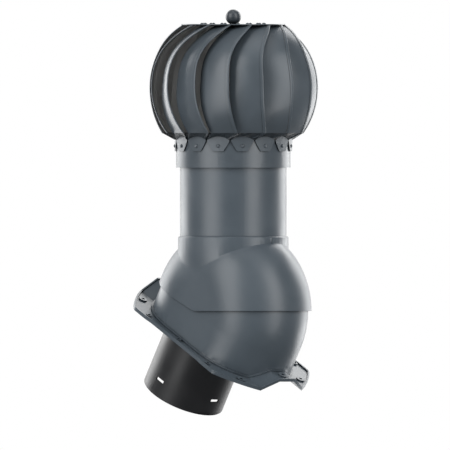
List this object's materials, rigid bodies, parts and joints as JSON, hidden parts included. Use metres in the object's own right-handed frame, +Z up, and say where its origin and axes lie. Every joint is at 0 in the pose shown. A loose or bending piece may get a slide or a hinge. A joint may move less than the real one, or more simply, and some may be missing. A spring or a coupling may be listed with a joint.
{
  "type": "rotating chimney cowl",
  "caption": "Roof vent with a free-spinning vaned turbine head on a vertical pipe, a tilting hood and a flanged base for a profiled pitched roof.",
  "frame": {"origin": "centre of the flange's screw pattern on the roof surface, under the tilting axis", "axes": "+Z up along the pipe and the rotor's axis, +X down the slope of a 30 degree roof, +Y across the slope along the hood's tilting axis"},
  "size_m": [0.2914, 0.2538, 0.6095],
  "materials": {
    "grey_moulding": "satin dark grey moulding",
    "coated_sheet": "satin dark grey coated sheet",
    "coated_rivet": "satin dark grey",
    "coated_ball": "semi-gloss dark grey",
    "black_duct": "satin black",
    "zinc_steel": "zinc plated",
    "bearing_steel": "ground steel"
  },
  "bodies": {
    "base": {"base_shell": "grey_moulding", "duct_spigot": "black_duct"},
    "tilting_hood": {"hood": "grey_moulding", "outer_pipe": "grey_moulding", "bearing_spider": "zinc_steel", "spider_rivets": "zinc_steel", "spindle": "zinc_steel", "spindle_nut": "zinc_steel", "lower_bearing_inner_ring": "bearing_steel", "upper_bearing_inner_ring": "bearing_steel", "spacer_sleeve": "zinc_steel", "spindle_circlip": "bearing_steel"},
    "rotor": {"top_plate": "coated_sheet", "plate_rivets": "coated_rivet", "rotor_ring": "coated_sheet", "ring_rivets": "coated_rivet", "bearing_hub": "zinc_steel", "lower_bearing_outer_ring": "bearing_steel", "upper_bearing_outer_ring": "bearing_steel", "spacer_ring": "zinc_steel", "hub_circlip": "bearing_steel", "finial_ball": "coated_ball", "vane_01": "coated_sheet", "vane_02": "coated_sheet", "vane_03": "coated_sheet", "vane_04": "coated_sheet", "vane_05": "coated_sheet", "vane_06": "coated_sheet", "vane_07": "coated_sheet", "vane_08": "coated_sheet", "vane_09": "coated_sheet", "vane_10": "coated_sheet", "vane_11": "coated_sheet", "vane_12": "coated_sheet", "vane_13": "coated_sheet", "vane_14": "coated_sheet", "vane_15": "coated_sheet"}
  },
  "joints": [
    {"name": "hood_tilt", "type": "hinge", "parent": "base", "child": "tilting_hood", "pos_m": [0.0265, 0, 0.0459], "axis": [0, 1, 0], "range_deg": [-5, 15]},
    {"name": "rotor_spin", "type": "hinge", "parent": "tilting_hood", "child": "rotor", "pos_m": [0.0265, 0, 0.3819], "axis": [0, 0, 1], "continuous": true}
  ]
}
